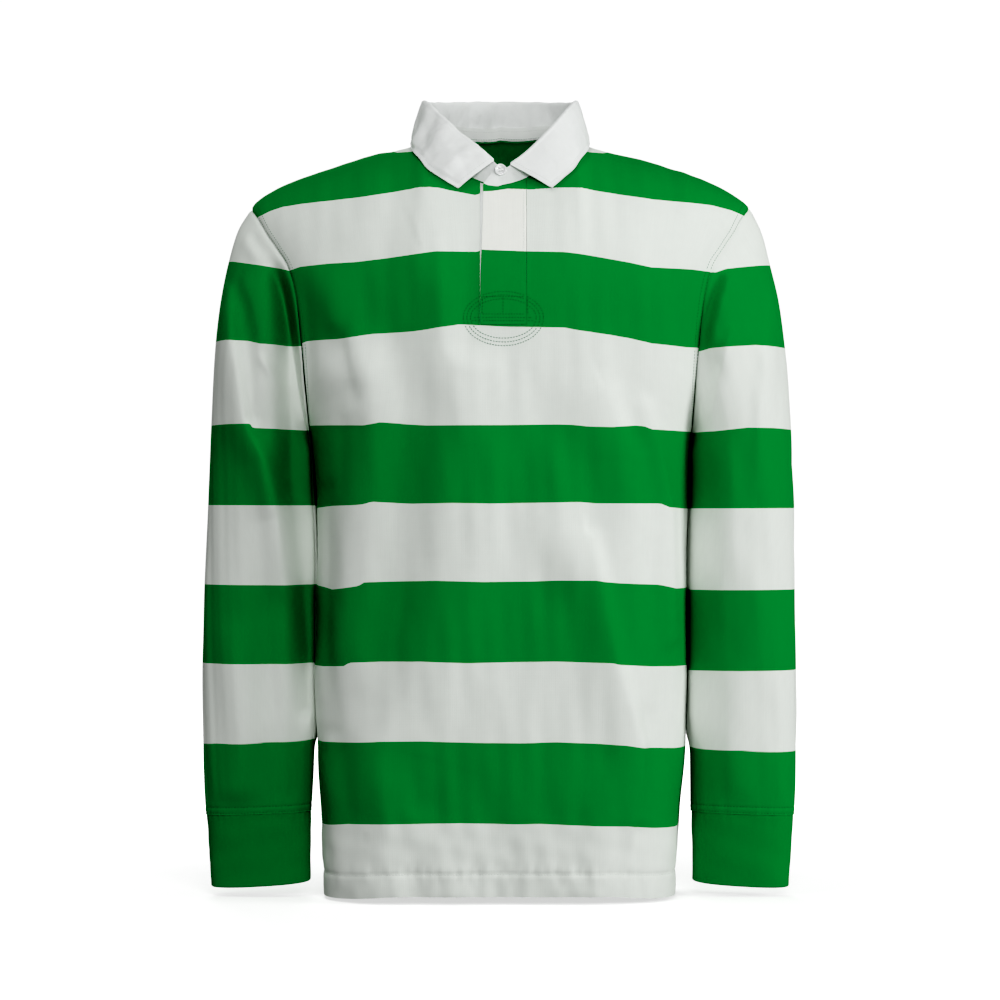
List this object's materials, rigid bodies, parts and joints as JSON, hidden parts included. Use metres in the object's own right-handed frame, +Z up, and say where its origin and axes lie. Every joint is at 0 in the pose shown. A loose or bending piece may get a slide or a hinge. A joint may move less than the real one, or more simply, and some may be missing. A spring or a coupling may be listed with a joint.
{
  "type": "long-sleeved rugby polo shirt",
  "caption": "Long-sleeved rugby polo shirt in wide green and white stripes, with a white fold-over collar, a hidden-button placket and plain cuffs, filled out as if worn.",
  "frame": {"origin": "in the middle of the neck, level with the highest points of the shoulders, where the shirt hangs on its wearer", "axes": "+Z up, -Y to the wearer's front, +X to the wearer's left"},
  "size_m": [0.5732, 0.2593, 0.7705],
  "materials": {
    "striped_jersey": "heavy cotton jersey, matt, in green and white stripes 75 mm wide",
    "green_cuff": "doubled green cotton jersey, matt",
    "white_twill": "washed white cotton twill, matt",
    "pearl_button": "pearly white resin, polished"
  },
  "bodies": {
    "root": {"front": "striped_jersey", "back": "striped_jersey", "sleeve_right": "striped_jersey", "sleeve_left": "striped_jersey", "cuff_right": "green_cuff", "cuff_left": "green_cuff", "placket_over": "striped_jersey", "placket_under": "white_twill", "collar": "white_twill", "neck_tape": "white_twill", "button_neck": "pearl_button"}
  },
  "joints": []
}
